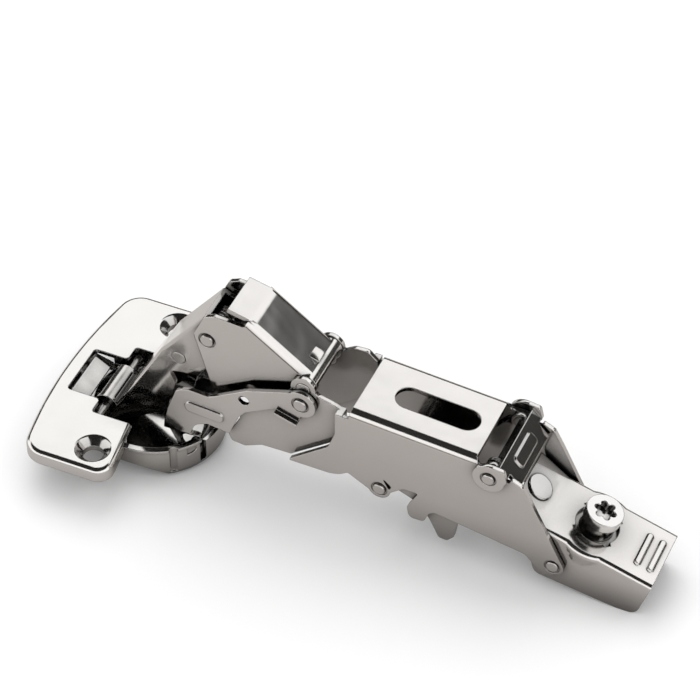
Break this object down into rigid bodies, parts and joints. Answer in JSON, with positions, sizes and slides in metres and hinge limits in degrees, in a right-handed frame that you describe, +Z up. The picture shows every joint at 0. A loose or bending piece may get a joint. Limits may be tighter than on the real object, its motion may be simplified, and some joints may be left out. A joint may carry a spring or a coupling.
{
  "type": "concealed cup hinge",
  "caption": "Wide-angle clip-on concealed hinge: folded arm with nested levers, round cup on a screw flange, release catch and adjustable rear carrier.",
  "frame": {"origin": "centre of the round cup at the flange's top face", "axes": "+X towards the rear end of the arm, +Y across the hinge along its pivots, +Z up out of the cup"},
  "size_m": [0.1625, 0.062, 0.0568],
  "materials": {
    "nickel_sheet": "bright nickel-plated steel sheet",
    "nickel_cup": "bright nickel-plated drawn steel",
    "pin_steel": "nickel-plated riveted pins",
    "spring_steel": "bright spring wire",
    "screw_steel": "nickel-plated screws",
    "dark_collar": "dark oiled steel collar"
  },
  "bodies": {
    "arm": {"arm_channel": "nickel_sheet", "lever_rivets": "pin_steel", "front_pin": "pin_steel", "catch_pin": "pin_steel", "release_pivots": "pin_steel", "rear_rivets": "pin_steel"},
    "release": {"release_lever": "nickel_sheet", "release_catch": "nickel_sheet", "release_spring": "spring_steel"},
    "cover": {"cover_lever": "nickel_sheet"},
    "inner": {"inner_lever": "nickel_sheet", "knuckle_rivet": "pin_steel", "spring_spindle": "pin_steel", "closing_spring": "spring_steel"},
    "outer": {"outer_lever_near": "nickel_sheet", "outer_lever_far": "nickel_sheet"},
    "cup": {"cup_shell": "nickel_cup", "cup_hinge_pin": "pin_steel", "cup_lever_pins": "pin_steel"},
    "carrier": {"rear_carrier": "nickel_sheet", "screw_bush": "dark_collar"},
    "depth_screw": {"depth_screw": "screw_steel"},
    "side_screw": {"side_screw": "screw_steel"}
  },
  "joints": [
    {"name": "cover_hinge", "type": "hinge", "parent": "arm", "child": "cover", "pos_m": [0.0449, 0, 0.0275], "axis": [0, -1, 0], "range_deg": [-80.7, 34]},
    {"name": "inner_hinge", "type": "hinge", "parent": "cover", "child": "inner", "pos_m": [0.0187, 0, 0.0324], "axis": [0, -1, 0], "range_deg": [-37.8, 89.4]},
    {"name": "cup_hinge", "type": "hinge", "parent": "inner", "child": "cup", "pos_m": [-0.0116, 0, -0.0036], "axis": [0, -1, 0], "range_deg": [-98.7, 41.7]},
    {"name": "outer_hinge", "type": "hinge", "parent": "arm", "child": "outer", "pos_m": [0.0447, 0, 0.0232], "axis": [0, -1, 0], "range_deg": [-5.9, 13.8]},
    {"name": "release_press", "type": "hinge", "parent": "arm", "child": "release", "pos_m": [0.0947, 0, 0.0206], "axis": [0, -1, 0], "range_deg": [0, 10], "stiffness_Nm_per_rad": 0.05, "springref_deg": -5.73},
    {"name": "carrier_tilt", "type": "hinge", "parent": "arm", "child": "carrier", "pos_m": [0.1116, 0, -0.0042], "axis": [0, -1, 0], "range_deg": [-2, 2]},
    {"name": "depth_screw_turn", "type": "hinge", "parent": "carrier", "child": "depth_screw", "pos_m": [0.11883, 0, 0.00317], "axis": [0.2857, 0, 0.9583], "continuous": true},
    {"name": "side_screw_turn", "type": "hinge", "parent": "carrier", "child": "side_screw", "pos_m": [0.10364, 0, 0.00979], "axis": [0.6132, 0, 0.7899], "continuous": true}
  ],
  "couplings": [
    {"joint": "inner_hinge", "follows": "cover_hinge", "ratio": -1.1058},
    {"joint": "cup_hinge", "follows": "cover_hinge", "ratio": 1.2207},
    {"joint": "outer_hinge", "follows": "cover_hinge", "ratio": -0.17}
  ]
}
